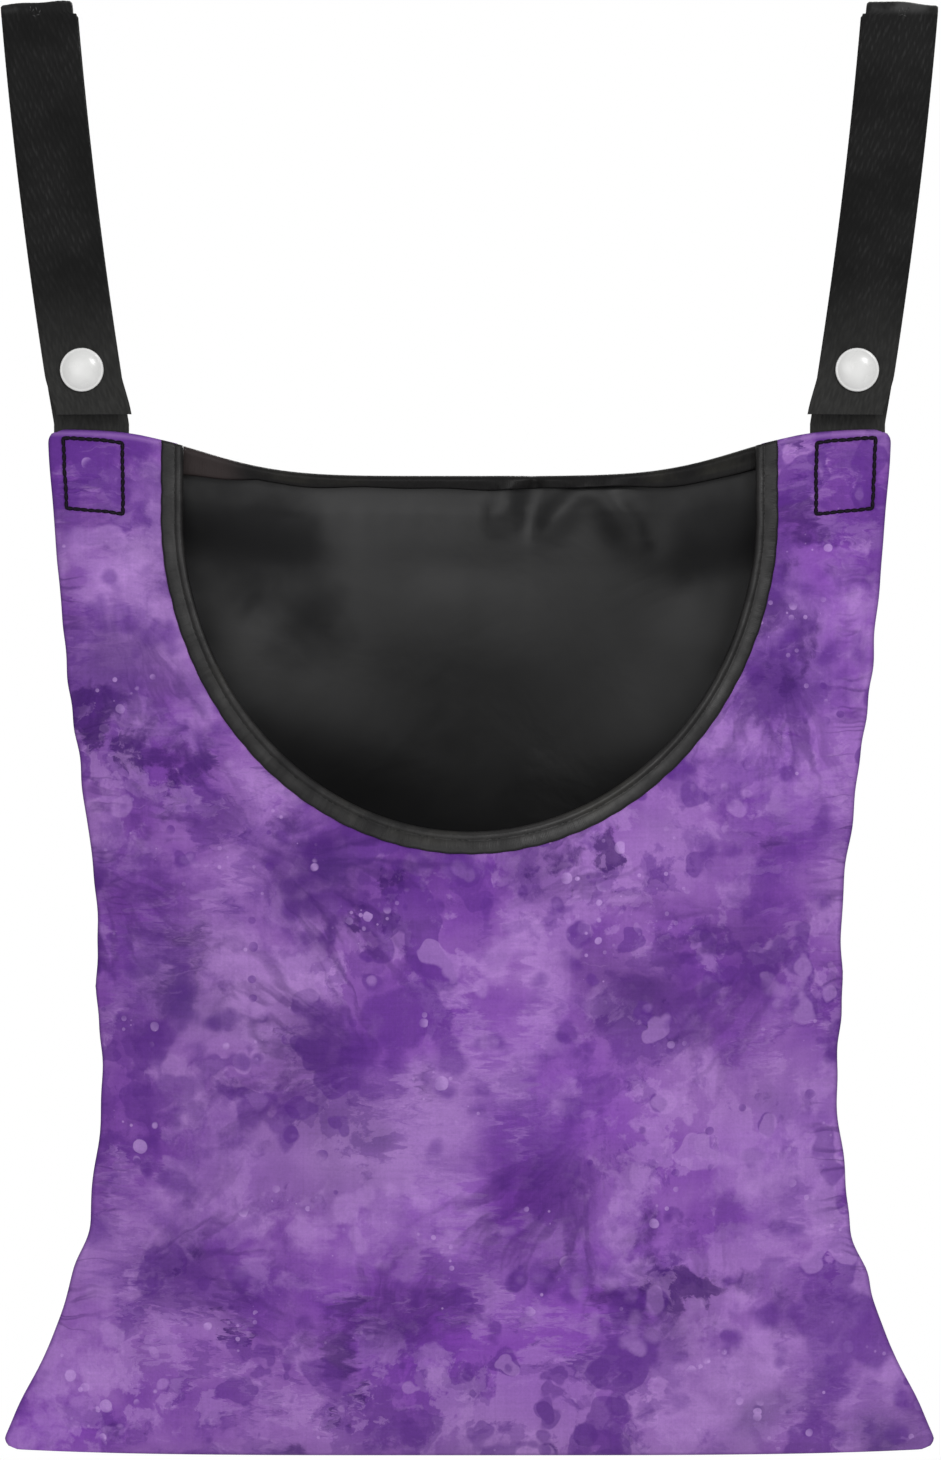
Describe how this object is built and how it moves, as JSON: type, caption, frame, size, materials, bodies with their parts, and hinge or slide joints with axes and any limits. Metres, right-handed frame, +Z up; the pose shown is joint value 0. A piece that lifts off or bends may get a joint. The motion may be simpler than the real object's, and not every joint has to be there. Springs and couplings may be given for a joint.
{
  "type": "peg bag",
  "caption": "Hanging cloth pouch with a scooped, tape-bound mouth and webbing straps that fold over a line and close with press snaps.",
  "frame": {"origin": "on the hanging line, midway between the two strap loops, at the height where the webbing bears on the line", "axes": "+Z up, the printed front faces -Y, +X to the right as seen from the front"},
  "size_m": [0.3116, 0.0944, 0.4845],
  "materials": {
    "printed_cloth": "matt printed polyester with a cloudy purple tie-dye",
    "lining_cloth": "smooth black lining cloth",
    "back_cloth": "black cloth with a satin sheen",
    "binding_tape": "black woven binding tape",
    "webbing": "black ribbed webbing",
    "snap_plastic": "satin white moulded plastic"
  },
  "bodies": {
    "straps": {"left_strap": "webbing", "left_snap_stud": "snap_plastic", "left_snap_rear_cap": "snap_plastic", "right_strap": "webbing", "right_snap_stud": "snap_plastic", "right_snap_rear_cap": "snap_plastic"},
    "bag": {"front_panel": "printed_cloth", "front_lining": "lining_cloth", "back_panel": "back_cloth", "mouth_binding": "binding_tape", "rim_binding": "binding_tape", "left_strap_tail": "webbing", "right_strap_tail": "webbing"},
    "left_flap": {"left_strap_flap": "webbing", "left_snap_cap": "snap_plastic", "left_snap_socket": "snap_plastic"},
    "right_flap": {"right_strap_flap": "webbing", "right_snap_cap": "snap_plastic", "right_snap_socket": "snap_plastic"}
  },
  "joints": [
    {"name": "bag_swing", "type": "hinge", "parent": "straps", "child": "bag", "pos_m": [0, 0.00475, -0.1385], "axis": [1, 0, 0], "range_deg": [-60, 60]},
    {"name": "left_flap_fold", "type": "hinge", "parent": "straps", "child": "left_flap", "pos_m": [-0.14303, 0, -0.002], "axis": [-0.9964, 0, -0.0846], "range_deg": [0, 170]},
    {"name": "right_flap_fold", "type": "hinge", "parent": "straps", "child": "right_flap", "pos_m": [0.14303, 0, -0.002], "axis": [-0.9964, 0, 0.0846], "range_deg": [0, 170]}
  ]
}
